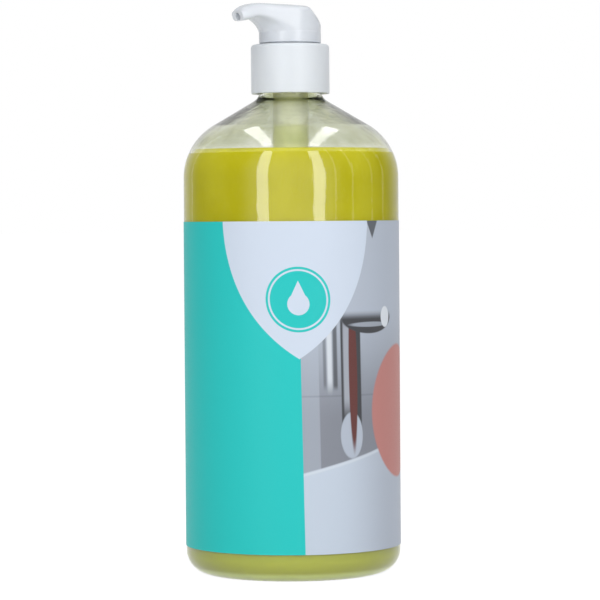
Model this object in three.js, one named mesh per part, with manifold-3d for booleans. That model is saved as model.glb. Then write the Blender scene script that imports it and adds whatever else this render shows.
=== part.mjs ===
// A one-litre hand soap bottle with a screw-on lotion pump, locked down.
// Millimetres, +Z up. The origin is the centre of the foot, and the front of the label faces -Y.

import * as THREE from 'three';
import { ParametricGeometry } from 'three/addons/geometries/ParametricGeometry.js';
import { mergeVertices } from 'three/addons/utils/BufferGeometryUtils.js';
import Module from 'manifold-3d';

const wasm = await Module();
wasm.setup();

// Clearances
const looseFit = 0.3; // between pieces that turn or screw past each other
const slideFit = 0.25; // stem in its guide
const snugFit = 0.1; // pieces that stay seated on each other
const pressFit = 0.05; // pieces pushed together for good
const pistonFit = 0.05; // piston lips in the barrel
const edgeBreak = 0.4; // chamfer that breaks an edge

// Bottle
const bodyRadius = 44;
const bodyWall = 0.8;
const landHeight = 211.4; // the neck's top face
const footFillet = 9.5;
const footRing = 1.8; // width of the flat ring that it stands on
const pushUp = 6; // rise of the base inside that ring
const shoulderRadius = 24.9;
const shoulderSlope = THREE.MathUtils.degToRad(30.5);
const neckHeight = 16.8; // from the shoulder to the land
const neckRadius = 12.5;
const neckWall = 1.65;
const neckFillet = 2.2;
const throatRound = 1; // inside, where the neck meets the shoulder

// Filling and label
const headSpace = 38.5; // empty height under the land
const labelThick = 0.1;
const labelAboveFoot = 2.1;
const labelBelowShoulder = 17.8;
const labelLap = 7; // width of the glued lap at the back

// Collar
const threadRoom = 1.5; // between the neck and the collar's bore, for the threads
const collarHeight = 20.1;
const collarDeck = 1.8;
const collarWall = 2.05;
const collarEdge = 1.5;

// Seal and barrel flange
const gasketThick = 1.2;
const flangeThick = 1.3;

// Barrel
const cupPlay = 0.45; // the barrel's cup drops freely through the neck
const cupWall = 1.1;
const cupFloorThick = 1.2;
const cupDepth = 11.1; // from the flange's top face to the step
const barrelRadius = 7.3;
const barrelWall = 0.9;
const footTubeWall = 1.35; // of the socket for the dip tube
const socketDepth = 9.8;
const ventRadius = 0.6;
const ventDrop = 4; // under the cup's step

// Valve and dip tube
const ballRadius = 2.38;
const chamberPlay = 1.02; // round the ball
const chamberHeight = 5.4;
const ballStopReach = 1; // how far each rib stands into the chamber
const ballStopWidth = 0.9;
const ballStopHeight = 1.2;
const inletRadius = 1.6;
const seatRise = 2.4;
const dipTubeRadius = 3.4;
const dipTubeWall = 0.7;
const dipTubeLift = 2; // clear height over the bottle's floor
const dipTubeSlant = THREE.MathUtils.degToRad(35);

// Plunger
const stroke = 14.5;
const stemRadius = 3.7;
const stemBore = 2.2;
const shoulderBand = 4.4; // height of the stem's stop shoulder
const shoulderBandStep = 1.3;
const pistonHeight = 10;
const lipHeight = 1.6;
const lipSlant = 0.5; // bevel at each end of the piston
const pistonWall = 1.45; // at its waist
const seatThick = 1.6;
const seatStep = 0.9; // of the seat beyond the stem
const portRadius = 0.8;
const portRise = 3.2; // over the seat
const spigotHeight = 2.2; // of the seat's plug in the stem

// Return spring, as it is with the head locked down
const springPressed = 10.9;
const springWire = 0.9; // diameter
const springMean = 4; // mean radius
const springTurns = 6.5;

// Chaplet
const rimLip = 2; // of the rim beyond the sleeve
const rimThick = 1.2;
const sleeveWall = 1;
const webDrop = 7; // from the rim's top face to the web
const webThick = 1.4;
const guideWall = 1.2;
const guideRise = 2.4; // of the guide over the web
const guideLength = 9;

// Head
const headGap = 0.5; // between the skirt and the collar
const headHeight = 15.9; // from the skirt's edge to the pad
const skirtWall = 1.2;
const skirtHeight = 7.8; // up to the foot of the back slope
const sideRound = 3.4; // depth of the rounding between the pad and the sides
const padFullness = 3.2; // exponent of the head's sections above their middle, 2 is round
const flankFullness = 12; // below the middle, over the skirt
const tipFullness = 4; // below the middle, at the spout's tip
const reach = 25.7; // from the pump's axis to the end of the spout
const tipHalfWidth = 4.2;
const tipTopDrop = 3.5; // from the pad to the top of the spout's mouth
const tipHeight = 3.9;
const tipLean = 0.3;
const noseRun = 9.8; // length of the falling nose
const noseCurl = 3; // how late the nose turns down
const tipRun = 7; // length over which the underside comes down to the mouth
const flareRadius = 7.5; // of the hollow under the spout
const flareStart = 2.6; // height over the skirt's edge
const padBack = -2.4; // where the pad ends and the back slope begins
const padDip = 0.6; // of the pad's back end under its top
const channelRadius = 1.4;
const lockRingPlay = 0.85; // round the chaplet's guide
const lockRingDepth = 5; // below the skirt's edge
const roofThick = 1.6; // of the skirt's roof
const roofFillet = 1.5;
const socketWall = 1.15;
const heading = THREE.MathUtils.degToRad(207); // of the spout, from +X

// Faceting
const roundSides = 40;
const smallSides = 28;
const arcSteps = 3;

// Radii that follow from the sizes above
const neckBore = neckRadius - neckWall;
const collarBore = neckRadius + threadRoom;
const collarRadius = collarBore + collarWall;
const gasketRadius = collarBore - looseFit * 2;
const flangeRadius = gasketRadius - snugFit * 2;
const cupRadius = neckBore - cupPlay;
const sleeveRadius = cupRadius - cupWall - snugFit;
const sleeveBore = sleeveRadius - sleeveWall;
const rimRadius = sleeveRadius + rimLip;
const skirtRadius = rimRadius + looseFit + skirtWall;
const lockRingRadius = sleeveBore - looseFit;
const barrelBore = barrelRadius - barrelWall;
const chamberRadius = ballRadius + chamberPlay;
const footTubeRadius = dipTubeRadius + pressFit + footTubeWall;
const guideRadius = stemRadius + slideFit;
const guideOuter = guideRadius + guideWall;
const lockRingBore = guideOuter + lockRingPlay;
const shoulderBandRadius = stemRadius + shoulderBandStep;
const pistonBore = stemRadius + pistonFit * 3;
const seatRadius = stemRadius + seatStep;

// Heights that follow from the sizes above
const neckFoot = landHeight - neckHeight;
const slopeRise = Math.tan(shoulderSlope);
const arcEndRadius = bodyRadius - shoulderRadius * (1 - Math.sin(shoulderSlope));
const arcEndHeight = neckFoot - (arcEndRadius - neckRadius) * slopeRise;
const shoulderStart = arcEndHeight - shoulderRadius * Math.cos(shoulderSlope);
const fillLevel = landHeight - headSpace;
const flangeBottom = landHeight + snugFit + gasketThick + snugFit;
const flangeTop = flangeBottom + flangeThick;
const deckBottom = flangeTop + looseFit;
const collarTop = deckBottom + collarDeck;
const collarBottom = collarTop - collarHeight;
const cupStep = flangeTop - cupDepth;
const cupFloor = cupStep + cupFloorThick;
const rimTop = collarTop + snugFit * 2 + rimThick;
const webTop = rimTop - webDrop;
const skirtBottom = collarTop + headGap;
const padTop = skirtBottom + headHeight;
const slopeFoot = skirtBottom + skirtHeight;
const ceiling = slopeFoot - roofThick;
const stemTop = ceiling - edgeBreak;
const guideTop = webTop + guideRise;
const guideBottom = guideTop - guideLength;
const bandTop = guideBottom - looseFit - stroke;
const pistonTop = bandTop - shoulderBand - looseFit;
const pistonBottom = pistonTop - pistonHeight;
const seatTop = pistonBottom - looseFit;
const seatBottom = seatTop - seatThick;
const springFoot = seatBottom - snugFit - springPressed;
const barrelFoot = springFoot - snugFit;
const seatFoot = barrelFoot - chamberHeight - seatRise;
const tubeStop = seatFoot - 1;
const housingFoot = tubeStop - socketDepth;

// A closed, merged solid of a three.js geometry
function toSolid(geometry) {
  geometry.deleteAttribute('normal');
  geometry.deleteAttribute('uv');
  const merged = mergeVertices(geometry, 1e-4);
  const corners = merged.index.array;
  const kept = [];
  for (let i = 0; i < corners.length; i += 3) {
    const [a, b, c] = [corners[i], corners[i + 1], corners[i + 2]];
    if (a !== b && b !== c && c !== a) kept.push(a, b, c);
  }
  const mesh = new wasm.Mesh({
    numProp: 3,
    vertProperties: merged.attributes.position.array,
    triVerts: new Uint32Array(kept),
  });
  return new wasm.Manifold(mesh);
}

// A named mesh with its own finish
function piece(name, solid, colour, roughness, metalness = 0, opacity = 1) {
  const { vertProperties, triVerts } = solid.getMesh();
  const geometry = new THREE.BufferGeometry();
  geometry.setAttribute('position', new THREE.BufferAttribute(vertProperties, 3));
  geometry.setIndex(new THREE.BufferAttribute(triVerts, 1));
  geometry.computeVertexNormals();
  const material = new THREE.MeshStandardMaterial({
    color: colour,
    roughness,
    metalness,
    opacity,
    transparent: opacity < 1,
    flatShading: true,
  });
  const mesh = new THREE.Mesh(geometry, material);
  mesh.name = name;
  return mesh;
}

// Turns a profile of (radius, height) about Z; the profile runs round its section anticlockwise
function revolve(profile, sides = smallSides) {
  const geometry = new THREE.LatheGeometry(profile.getPoints(arcSteps), sides);
  geometry.rotateX(Math.PI / 2);
  return toSolid(geometry);
}

// A profile of straight lines, closed
function ringProfile(...corners) {
  const profile = new THREE.Path(corners.map(([radius, height]) => new THREE.Vector2(radius, height)));
  profile.closePath();
  return profile;
}

function tubeSolid(outer, inner, bottom, top, sides = smallSides) {
  return revolve(ringProfile([inner, bottom], [outer, bottom], [outer, top], [inner, top]), sides);
}

function discSolid(radius, bottom, top, sides = smallSides) {
  return revolve(ringProfile([0, bottom], [radius, bottom], [radius, top], [0, top]), sides);
}

// The bottle's outer line, from the axis to the land, moved inwards by inset
function bottleLine(path, inset) {
  const wall = bodyRadius - inset;
  const fillet = footFillet - inset;
  const ringOuter = bodyRadius - footFillet;
  const ringInner = ringOuter - footRing;
  const arcCentre = bodyRadius - shoulderRadius;
  const arcRadius = shoulderRadius - inset;
  path.moveTo(0, pushUp + inset);
  path.quadraticCurveTo(ringInner * 0.72, pushUp + inset, ringInner, inset);
  path.lineTo(ringOuter, inset);
  path.absarc(wall - fillet, inset + fillet, fillet, -Math.PI / 2, 0);
  path.absarc(arcCentre, shoulderStart, arcRadius, 0, Math.PI / 2 - shoulderSlope);
}

// One blown shell: pushed-up base, straight wall, arched shoulder, sloping top and thick neck
function makeBottle() {
  const outside = new THREE.Path();
  bottleLine(outside, 0);
  const filletSpan = neckFillet * Math.tan((Math.PI / 2 - shoulderSlope) / 2);
  const filletFoot = filletSpan * Math.sin(shoulderSlope);
  outside.lineTo(neckRadius + filletSpan * Math.cos(shoulderSlope), neckFoot - filletFoot);
  outside.quadraticCurveTo(neckRadius, neckFoot, neckRadius, neckFoot + filletSpan);
  outside.lineTo(neckRadius, landHeight);
  outside.lineTo(neckBore, landHeight);
  const inside = new THREE.Path();
  bottleLine(inside, bodyWall);
  inside.lineTo(neckBore + throatRound, neckFoot - bodyWall);
  inside.quadraticCurveTo(neckBore, neckFoot - bodyWall, neckBore, neckFoot + throatRound);
  inside.lineTo(neckBore, landHeight);
  const points = [...outside.getPoints(arcSteps), ...inside.getPoints(arcSteps).reverse()];
  return revolve(new THREE.Path(points), roundSides);
}

// The soap fills the shell to its level, round the barrel's foot and the dip tube
function makeSoap() {
  const inset = bodyWall + snugFit;
  const inner = new THREE.Path();
  bottleLine(inner, inset);
  inner.lineTo(neckBore, neckFoot - inset);
  const line = inner.getPoints(arcSteps);
  const above = line.findIndex((point) => point.y > fillLevel);
  const [under, over] = [line[above - 1], line[above]];
  const brim = under.clone().lerp(over, (fillLevel - under.y) / (over.y - under.y));
  const profile = new THREE.Path([...line.slice(0, above), brim, new THREE.Vector2(0, fillLevel)]);
  const pumpSpace = ringProfile(
    [0, 0],
    [dipTubeRadius + looseFit, 0],
    [dipTubeRadius + looseFit, housingFoot - looseFit],
    [footTubeRadius + looseFit, housingFoot - looseFit],
    [footTubeRadius + looseFit, seatFoot + seatRise - looseFit],
    [barrelRadius + looseFit, barrelFoot - looseFit],
    [barrelRadius + looseFit, fillLevel + 1],
    [0, fillLevel + 1],
  );
  return revolve(profile, roundSides).subtract(revolve(pumpSpace));
}

// One printed film wrapped right round, whose end rides up over its start at the back
function makeLabel() {
  const bottom = footFillet + labelAboveFoot;
  const top = shoulderStart - labelBelowShoulder;
  const innerRadius = bodyRadius + snugFit;
  const lapAngle = labelLap / bodyRadius;
  const start = Math.PI / 2 - lapAngle / 2;
  const steps = roundSides * 2;
  const rampAngle = 3 * lapAngle;
  const rampStart = 2 * Math.PI - rampAngle;
  const rampEnd = 2 * Math.PI - lapAngle * 0.1;
  const ply = (side) => {
    const points = [];
    for (let i = 0; i <= steps; i += 1) {
      const turned = ((2 * Math.PI + lapAngle) * i) / steps;
      const climb = THREE.MathUtils.clamp((turned - rampStart) / (rampEnd - rampStart), 0, 1);
      const radius = innerRadius + side * labelThick + climb * (labelThick + snugFit);
      const angle = start + turned;
      points.push(new THREE.Vector2(radius * Math.cos(angle), radius * Math.sin(angle)));
    }
    return points;
  };
  const outline = new THREE.Shape([...ply(1), ...ply(0).reverse()]);
  const geometry = new THREE.ExtrudeGeometry(outline, { depth: top - bottom, bevelEnabled: false });
  geometry.translate(0, 0, bottom);
  return toSolid(geometry);
}

// The screw collar: a smooth cap with a round hole through its deck
function makeCollar() {
  const hole = sleeveRadius + looseFit;
  const profile = new THREE.Path();
  profile.moveTo(collarBore, collarBottom + edgeBreak);
  profile.lineTo(collarBore + edgeBreak, collarBottom);
  profile.lineTo(collarRadius - edgeBreak, collarBottom);
  profile.lineTo(collarRadius, collarBottom + edgeBreak);
  profile.absarc(collarRadius - collarEdge, collarTop - collarEdge, collarEdge, 0, Math.PI / 2);
  profile.lineTo(hole, collarTop);
  profile.lineTo(hole, deckBottom);
  profile.lineTo(collarBore, deckBottom);
  profile.closePath();
  return revolve(profile, roundSides);
}

function makeGasket() {
  const bottom = landHeight + snugFit;
  return tubeSolid(gasketRadius, cupRadius + looseFit, bottom, bottom + gasketThick, roundSides);
}

// The barrel: flange, cup for the chaplet, bore for the piston, ball chamber and dip tube socket
function makeHousing() {
  const socketBore = dipTubeRadius + pressFit;
  const profile = new THREE.Path();
  profile.moveTo(socketBore, housingFoot);
  profile.lineTo(footTubeRadius, housingFoot);
  profile.lineTo(footTubeRadius, seatFoot + seatRise);
  profile.lineTo(barrelRadius, barrelFoot);
  profile.lineTo(barrelRadius, cupStep);
  profile.lineTo(cupRadius - edgeBreak * 2, cupStep);
  profile.lineTo(cupRadius, cupStep + edgeBreak * 2);
  profile.lineTo(cupRadius, flangeBottom);
  profile.lineTo(flangeRadius, flangeBottom);
  profile.lineTo(flangeRadius, flangeTop);
  profile.lineTo(cupRadius - cupWall, flangeTop);
  profile.lineTo(cupRadius - cupWall, cupFloor);
  profile.lineTo(barrelBore, cupFloor - edgeBreak);
  profile.lineTo(barrelBore, barrelFoot);
  profile.lineTo(chamberRadius, barrelFoot);
  profile.lineTo(chamberRadius, seatFoot + seatRise);
  profile.lineTo(inletRadius, seatFoot);
  profile.lineTo(inletRadius, tubeStop);
  profile.lineTo(socketBore, tubeStop);
  profile.closePath();
  const vent = new THREE.CylinderGeometry(ventRadius, ventRadius, barrelWall * 4, 10);
  vent.rotateZ(Math.PI / 2);
  vent.translate(barrelRadius - barrelWall / 2, 0, cupStep - ventDrop);
  return addBallStops(revolve(profile)).subtract(toSolid(vent));
}

// Three ribs under the barrel that keep the ball in its chamber
function addBallStops(housing) {
  const rooted = footTubeWall;
  const rib = new THREE.BoxGeometry(ballStopReach + rooted, ballStopWidth, ballStopHeight);
  rib.translate(chamberRadius + (rooted - ballStopReach) / 2, 0, barrelFoot - ballStopHeight / 2);
  let stopped = housing;
  for (let i = 0; i < 3; i += 1) {
    const stop = rib.clone();
    stop.rotateZ((i * 2 * Math.PI) / 3);
    stopped = stopped.add(toSolid(stop));
  }
  return stopped;
}

// The chaplet snaps in the cup, holds the collar under its rim and guides the stem
function makeChaplet() {
  const sleeveFoot = cupFloor + looseFit;
  const profile = new THREE.Path();
  profile.moveTo(guideRadius, guideBottom);
  profile.lineTo(guideOuter, guideBottom);
  profile.lineTo(guideOuter, webTop - webThick);
  profile.lineTo(sleeveBore, webTop - webThick);
  profile.lineTo(sleeveBore, sleeveFoot);
  profile.lineTo(sleeveRadius, sleeveFoot);
  profile.lineTo(sleeveRadius, collarTop + snugFit * 2);
  profile.lineTo(rimRadius, collarTop + snugFit * 2);
  profile.lineTo(rimRadius, rimTop - edgeBreak);
  profile.lineTo(rimRadius - edgeBreak, rimTop);
  profile.lineTo(sleeveBore, rimTop);
  profile.lineTo(sleeveBore, webTop);
  profile.lineTo(guideOuter, webTop);
  profile.lineTo(guideOuter, guideTop);
  profile.lineTo(guideRadius, guideTop);
  profile.closePath();
  return revolve(profile);
}

// The ball rests on the seat's cone
function makeBall() {
  const run = chamberRadius - inletRadius;
  const slant = Math.hypot(run, seatRise);
  const centre = seatFoot + ((ballRadius + pressFit) * slant - inletRadius * seatRise) / run;
  const geometry = new THREE.SphereGeometry(ballRadius, 16, 10);
  geometry.rotateX(Math.PI / 2);
  geometry.translate(0, 0, centre);
  return toSolid(geometry);
}

// The dip tube, cut on a slant so that its mouth never seals on the floor
function makeDipTube() {
  const foot = pushUp + bodyWall + dipTubeLift;
  const tube = tubeSolid(dipTubeRadius, dipTubeRadius - dipTubeWall, foot, tubeStop - snugFit);
  const knife = new THREE.BoxGeometry(30, 30, 20);
  knife.translate(0, 0, -10);
  knife.rotateY(dipTubeSlant);
  knife.translate(dipTubeRadius, 0, foot);
  return tube.subtract(toSolid(knife));
}

// A helix whose first and last turns lie flat, as on a ground compression spring
class SpringLine extends THREE.Curve {
  getPoint(t, target = new THREE.Vector3()) {
    const turn = t * springTurns;
    const flatPitch = springWire * 1.12;
    const openTurns = springTurns - 2;
    const rise = springPressed - springWire;
    const openPitch = (rise - 2 * flatPitch) / openTurns;
    const flatTurns = Math.min(turn, 1) + Math.max(turn - springTurns + 1, 0);
    const height = flatTurns * flatPitch + THREE.MathUtils.clamp(turn - 1, 0, openTurns) * openPitch;
    const angle = turn * 2 * Math.PI;
    const x = springMean * Math.cos(angle);
    const y = springMean * Math.sin(angle);
    return target.set(x, y, springFoot + springWire / 2 + height);
  }
}

function makeSpring() {
  const wire = new THREE.Shape();
  wire.absarc(0, 0, springWire / 2, 0, 2 * Math.PI);
  const steps = springTurns * 12;
  const options = { steps, curveSegments: 3, extrudePath: new SpringLine(), bevelEnabled: false };
  return toSolid(new THREE.ExtrudeGeometry(wire, options));
}

// The hollow stem, with the shoulder that stops it under the guide and two ports above the seat
function makeStem() {
  const profile = ringProfile(
    [stemBore, seatTop + snugFit],
    [stemRadius, seatTop + snugFit],
    [stemRadius, pistonTop + looseFit],
    [shoulderBandRadius, pistonTop + looseFit],
    [shoulderBandRadius, bandTop - edgeBreak],
    [shoulderBandRadius - edgeBreak, bandTop],
    [stemRadius, bandTop],
    [stemRadius, stemTop - edgeBreak],
    [stemRadius - edgeBreak, stemTop],
    [stemBore, stemTop],
  );
  const port = new THREE.CylinderGeometry(portRadius, portRadius, stemRadius * 3, 12);
  port.rotateZ(Math.PI / 2);
  port.translate(0, 0, seatTop + portRise);
  return revolve(profile).subtract(toSolid(port));
}

// A sleeve with one wiping lip at each end
function makePiston() {
  const lip = barrelBore - pistonFit;
  const waist = pistonBore + pistonWall;
  return revolve(
    ringProfile(
      [pistonBore, pistonBottom],
      [lip - lipSlant, pistonBottom],
      [lip, pistonBottom + lipSlant],
      [lip, pistonBottom + lipHeight],
      [waist, pistonBottom + lipHeight + 1],
      [waist, pistonTop - lipHeight - 1],
      [lip, pistonTop - lipHeight],
      [lip, pistonTop - lipSlant],
      [lip - lipSlant, pistonTop],
      [pistonBore, pistonTop],
    ),
  );
}

// The plug that closes the stem's foot and carries the spring
function makePistonSeat() {
  const spigot = stemBore - pressFit;
  return revolve(
    ringProfile(
      [0, seatBottom],
      [seatRadius - edgeBreak, seatBottom],
      [seatRadius, seatBottom + edgeBreak],
      [seatRadius, seatTop],
      [spigot, seatTop],
      [spigot, seatTop + spigotHeight - edgeBreak],
      [spigot - edgeBreak, seatTop + spigotHeight],
      [0, seatTop + spigotHeight],
    ),
  );
}

// Half the width of the head's plan at a distance along the spout: a circle, then its tangent to the tip
function planHalfWidth(along) {
  const inset = 0.05;
  const radius = skirtRadius - inset;
  const turn = Math.asin(radius / Math.hypot(reach, tipHalfWidth)) - Math.atan2(tipHalfWidth, reach);
  if (along < radius * Math.sin(turn)) return Math.sqrt(Math.max(radius ** 2 - along ** 2, 0));
  return (radius - along * Math.sin(turn)) / Math.cos(turn);
}

// Height of a sampled line at a distance along the spout
function heightAt(line, along) {
  const next = line.findIndex((point) => point.x >= along);
  if (next < 0) return line.at(-1).y;
  if (next === 0) return line[0].y;
  const [a, b] = [line[next - 1], line[next]];
  return THREE.MathUtils.mapLinear(along, a.x, b.x, a.y, b.y);
}

// The head's top line from the back: the back slope, the thumb pad and the falling nose
function padLine() {
  const line = new THREE.Path();
  line.moveTo(-skirtRadius, slopeFoot);
  line.quadraticCurveTo(padBack - 4.1, slopeFoot + 3.7, padBack, padTop - padDip);
  line.lineTo(reach - noseRun, padTop);
  line.quadraticCurveTo(reach - noseCurl, padTop, reach, padTop - tipTopDrop);
  return line.getPoints(16);
}

// Underside of the spout: a hollow that flares out of the skirt, then falls a little to the tip
function undersideAt(along, distance) {
  const foot = skirtBottom + flareStart;
  const inner = skirtRadius - 0.2;
  const run = THREE.MathUtils.clamp(inner + flareRadius - distance, 0, flareRadius);
  const fall = THREE.MathUtils.smoothstep(along, reach - tipRun, reach);
  const tipLow = padTop - tipTopDrop - tipHeight;
  const hollow = foot + Math.sqrt(flareRadius ** 2 - run ** 2);
  return THREE.MathUtils.lerp(hollow, tipLow, fall);
}

// The head's upper body, lofted along the spout in rounded sections
function loftHead() {
  const top = padLine();
  const sections = 30;
  const around = 30;
  const round = (value, power) => Math.sign(value) * Math.abs(value) ** (2 / power);
  const surface = (u, v, target) => {
    const inner = THREE.MathUtils.clamp((v * (sections + 2) - 1) / sections, 0, 1);
    const eased = (1 - Math.cos(Math.PI * inner)) / 2;
    const along = THREE.MathUtils.lerp(-skirtRadius + 0.12, reach, (eased + inner) / 2);
    const closing = v === 0 || v === 1 ? 0 : 1;
    const outward = THREE.MathUtils.smoothstep(along, reach / 4, reach);
    const lowFullness = THREE.MathUtils.lerp(flankFullness, tipFullness, outward);
    const power = u < 0.5 ? padFullness : lowFullness;
    const angle = 2 * Math.PI * (u % 1);
    const across = planHalfWidth(along) * closing * round(Math.cos(angle), power);
    const lift = closing * round(Math.sin(angle), power);
    const crest = heightAt(top, along);
    const low = undersideAt(along, Math.hypot(along, across));
    const middle = crest - Math.min(sideRound, (crest - low) / 2);
    const height = lift > 0 ? middle + (crest - middle) * lift : middle + (middle - low) * lift;
    const lean = tipLean * THREE.MathUtils.smoothstep(along, reach - noseRun, reach);
    target.set(along - lean * (crest - height), across, height);
  };
  return toSolid(new ParametricGeometry(surface, around, sections + 2));
}

// The way for the soap, from the stem up and along the spout to its mouth
function makeChannel(from) {
  const mouth = padTop - tipTopDrop - tipHeight / 2;
  const points = [
    [0, from],
    [0, padTop - 5.6],
    [4, padTop - 3.6],
    [reach - 10, padTop - 3.1],
    [reach - 5, padTop - 3.7],
    [reach + 2, mouth - 1.6],
  ];
  const line = new THREE.CatmullRomCurve3(points.map(([x, z]) => new THREE.Vector3(x, 0, z)));
  const section = new THREE.Shape();
  section.absarc(0, 0, channelRadius, 0, 2 * Math.PI);
  const options = { steps: 14, curveSegments: 5, extrudePath: line, bevelEnabled: false };
  return toSolid(new THREE.ExtrudeGeometry(section, options));
}

// The actuator: skirt, pad and spout in one moulding, with the stem socket and lock ring inside
function makeHead() {
  const skirt = discSolid(skirtRadius, skirtBottom, slopeFoot - sideRound, roundSides);
  const skirtBore = skirtRadius - skirtWall;
  const cavityProfile = new THREE.Path();
  cavityProfile.moveTo(0, skirtBottom - 1);
  cavityProfile.lineTo(skirtBore, skirtBottom - 1);
  cavityProfile.absarc(skirtBore - roofFillet, ceiling - roofFillet, roofFillet, 0, Math.PI / 2);
  cavityProfile.lineTo(0, ceiling);
  const cavity = revolve(cavityProfile, roundSides);
  const socketBore = stemRadius + pressFit;
  const socketFoot = guideTop + looseFit;
  const lockFoot = skirtBottom - lockRingDepth;
  const root = ceiling + roofThick / 2;
  const socket = tubeSolid(socketBore + socketWall, socketBore, socketFoot, root);
  const lockRing = tubeSolid(lockRingRadius, lockRingBore, lockFoot, root);
  const stemHole = discSolid(socketBore, skirtBottom - 1, stemTop + snugFit);
  const shell = skirt.add(loftHead()).subtract(cavity);
  return shell.add(socket).add(lockRing).subtract(stemHole).subtract(makeChannel(stemTop - 1));
}

const white = 0xf2f4f5;
const naturalPlastic = 0xdfe3d6;
const bottle = new THREE.Group();
bottle.add(piece('bottle', makeBottle(), 0xeaf0e6, 0.08, 0, 0.35));
bottle.add(piece('liquid_soap', makeSoap(), 0xc0bb45, 0.3));
bottle.add(piece('label', makeLabel(), 0x3dc2bf, 0.45));

const pump = new THREE.Group();
pump.add(piece('pump_housing', makeHousing(), naturalPlastic, 0.4, 0, 0.7));
pump.add(piece('chaplet', makeChaplet(), white, 0.35));
pump.add(piece('neck_gasket', makeGasket(), 0xe9e9e4, 0.7));
pump.add(piece('check_ball', makeBall(), 0xb9bdc1, 0.2, 1));
pump.add(piece('dip_tube', makeDipTube(), naturalPlastic, 0.4, 0, 0.7));
pump.add(piece('return_spring', makeSpring(), 0xb4b8bb, 0.3, 1));
pump.add(piece('collar', makeCollar(), white, 0.35));

const plunger = new THREE.Group();
plunger.rotation.z = heading;
plunger.add(piece('piston', makePiston(), 0xd8dcd2, 0.4));
plunger.add(piece('piston_seat', makePistonSeat(), white, 0.4));
plunger.add(piece('stem', makeStem(), white, 0.4));
plunger.add(piece('actuator_head', makeHead(), white, 0.3));
pump.add(plunger);

const soapBottle = new THREE.Group();
soapBottle.add(bottle);
soapBottle.add(pump);

export default soapBottle;
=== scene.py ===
# Looks of a one-litre hand soap bottle with a lotion pump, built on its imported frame.
# Sizes are in millimetres here, and a mesh becomes metres when it is made.

import bpy
from math import asin, atan2, ceil, copysign, cos, hypot, pi, radians, sin, sqrt, tan
from mathutils import Matrix, Vector


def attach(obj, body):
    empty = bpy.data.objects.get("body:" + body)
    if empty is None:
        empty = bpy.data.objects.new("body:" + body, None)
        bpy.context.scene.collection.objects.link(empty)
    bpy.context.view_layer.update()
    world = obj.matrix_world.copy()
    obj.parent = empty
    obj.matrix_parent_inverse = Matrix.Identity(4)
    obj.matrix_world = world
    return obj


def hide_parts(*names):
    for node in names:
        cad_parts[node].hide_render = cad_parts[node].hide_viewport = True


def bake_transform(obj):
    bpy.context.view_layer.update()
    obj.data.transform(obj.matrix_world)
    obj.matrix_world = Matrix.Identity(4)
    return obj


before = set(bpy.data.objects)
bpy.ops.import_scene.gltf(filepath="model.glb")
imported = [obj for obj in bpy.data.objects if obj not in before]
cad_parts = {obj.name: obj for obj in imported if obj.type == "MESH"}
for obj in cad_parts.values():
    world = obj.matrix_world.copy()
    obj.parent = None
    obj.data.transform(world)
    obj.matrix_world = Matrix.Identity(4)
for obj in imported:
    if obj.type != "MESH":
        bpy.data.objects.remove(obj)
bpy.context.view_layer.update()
mm = 0.001
print("frame loaded")


def addObject(name, data):
    thing = bpy.data.objects.new(name, data)
    bpy.context.scene.collection.objects.link(thing)
    return thing


def addPiece(name, points, faces):
    mesh = bpy.data.meshes.new(name)
    mesh.from_pydata([(x * mm, y * mm, z * mm) for x, y, z in points], [], faces)
    mesh.update()
    mesh.shade_smooth()
    return addObject(name, mesh)


def keepEdges(piece, degrees=32):
    # edges sharper than this stay sharp in the shading
    piece.data.set_sharp_from_angle(angle=radians(degrees))
    return piece


def arc(x, z, radius, start, end, steps):
    # points on a circle in the profile's plane, angles in degrees
    turns = [radians(start + (end - start) * i / steps) for i in range(steps + 1)]
    return [(x + radius * cos(a), z + radius * sin(a)) for a in turns]


def rounded(corners, steps=4):
    # a profile whose corners (radius, height, fillet) are rounded off, over no more than part of their sides
    most, least = 0.45, 0.01
    line = []
    for i, (x, z, fillet) in enumerate(corners):
        here = Vector((x, z))
        before = Vector(corners[i - 1][:2]) - here
        after = Vector(corners[(i + 1) % len(corners)][:2]) - here
        cut = min(fillet, before.length * most, after.length * most)
        if cut < least:
            line.append((x, z))
            continue
        first = here + before.normalized() * cut
        last = here + after.normalized() * cut
        for k in range(steps + 1):
            t = k / steps
            p = first * (1 - t) ** 2 + here * 2 * t * (1 - t) + last * t ** 2
            line.append((p.x, p.y))
    return line


def split(line, longest):
    # adds points so that no stretch of the profile is longer than this
    dense = []
    for i in range(len(line) - 1):
        a, b = Vector(line[i]), Vector(line[i + 1])
        count = max(1, ceil((b - a).length / longest))
        dense += [tuple(a.lerp(b, k / count)) for k in range(count)]
    return dense + [tuple(line[-1])]


def lathe(name, line, segments=96, closed=True, shape=None):
    # turns a profile about Z, and shape(radius, height, angle) may move each point in or out
    points, faces, rows = [], [], []
    for radius, height in line:
        if radius < 1e-6:  # on the axis
            rows.append([len(points)] * segments)
            points.append((0, 0, height))
            continue
        row = []
        for k in range(segments):
            angle = 2 * pi * k / segments
            r = shape(radius, height, angle) if shape else radius
            row.append(len(points))
            points.append((r * cos(angle), r * sin(angle), height))
        rows.append(row)
    count = len(rows) if closed else len(rows) - 1
    for i in range(count):
        low, high = rows[i], rows[(i + 1) % len(rows)]
        for k in range(segments):
            n = (k + 1) % segments
            # a point on the axis counts once
            corners = list(dict.fromkeys((low[k], low[n], high[n], high[k])))
            if len(corners) > 2:
                faces.append(corners)
    return addPiece(name, points, faces)


def smoothStep(value, low, high):
    t = min(max((value - low) / (high - low), 0.0), 1.0)
    return t * t * (3 - 2 * t)


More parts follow.
